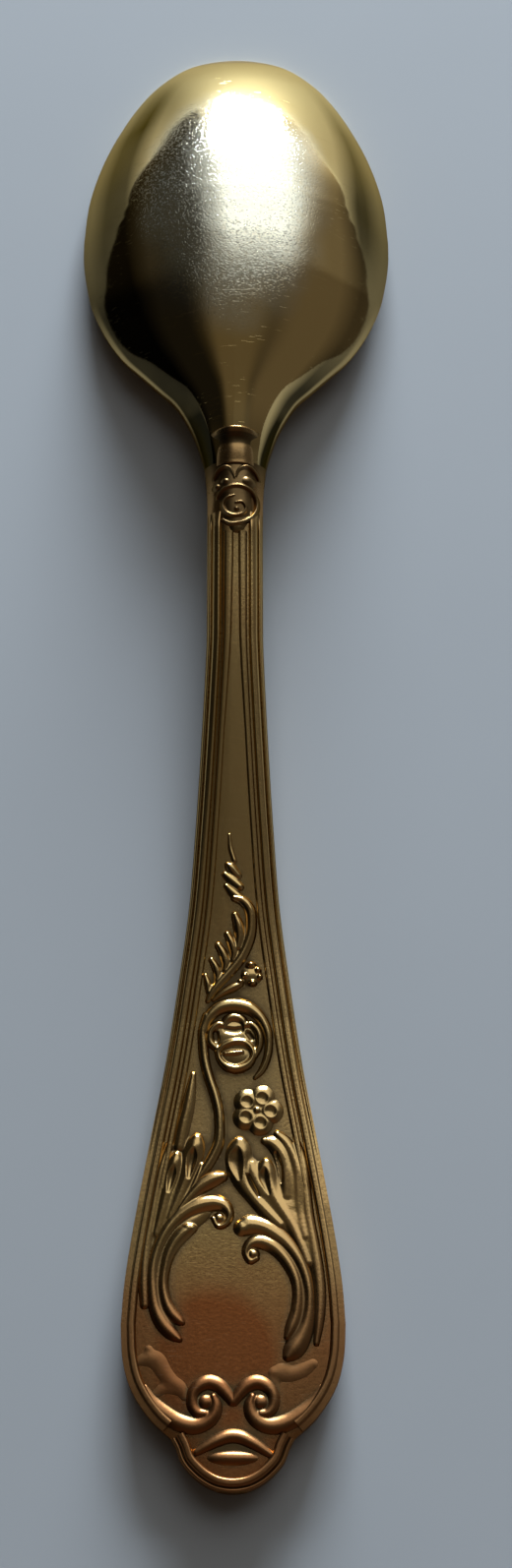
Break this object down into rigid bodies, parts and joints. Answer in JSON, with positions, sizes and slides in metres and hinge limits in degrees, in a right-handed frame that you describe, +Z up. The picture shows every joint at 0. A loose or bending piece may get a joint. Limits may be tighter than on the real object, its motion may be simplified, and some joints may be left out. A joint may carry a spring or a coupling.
{
  "type": "teaspoon",
  "caption": "Gilt teaspoon with a deep oval bowl, a raised drop on the heel, a threaded stem and a flaring handle with rococo scrollwork.",
  "frame": {"origin": "centre of the base of the bounding box, with the spoon lying face down on a table", "axes": "+Y along the spoon towards the bowl tip, +Z up from the table, out of the back of the spoon, +X across it"},
  "size_m": [0.029, 0.138, 0.0106],
  "materials": {
    "worn_gilt": "gilding worn to silver grey, finely scratched",
    "gilt": "satin gilding",
    "warm_gilt": "satin gilding with a copper tint"
  },
  "bodies": {
    "root": {"bowl": "worn_gilt", "heel_drop": "gilt", "neck_crest": "gilt", "stem": "gilt", "handle_plate": "gilt", "end_lobe": "warm_gilt", "back_band_left": "gilt", "back_band_right": "gilt", "back_bead_left": "gilt", "back_bead_right": "gilt", "back_lobe_band": "warm_gilt", "back_tendril": "gilt", "back_leaf_spray": "gilt", "back_bud": "gilt", "back_ring_scroll": "gilt", "back_ring_flower": "gilt", "back_flower": "gilt", "back_leaves_left": "gilt", "back_leaves_right": "gilt", "back_scroll_left": "gilt", "back_scroll_right": "gilt", "back_sprig_left": "warm_gilt", "back_sprig_right": "warm_gilt", "back_volute_left": "warm_gilt", "back_volute_right": "warm_gilt", "back_lobe_shell": "warm_gilt", "front_band_left": "gilt", "front_band_right": "gilt", "front_lobe_band": "warm_gilt", "front_vine": "gilt", "front_flower": "gilt", "front_scroll_left": "gilt", "front_scroll_right": "gilt", "front_volute_left": "warm_gilt", "front_volute_right": "warm_gilt"}
  },
  "joints": []
}
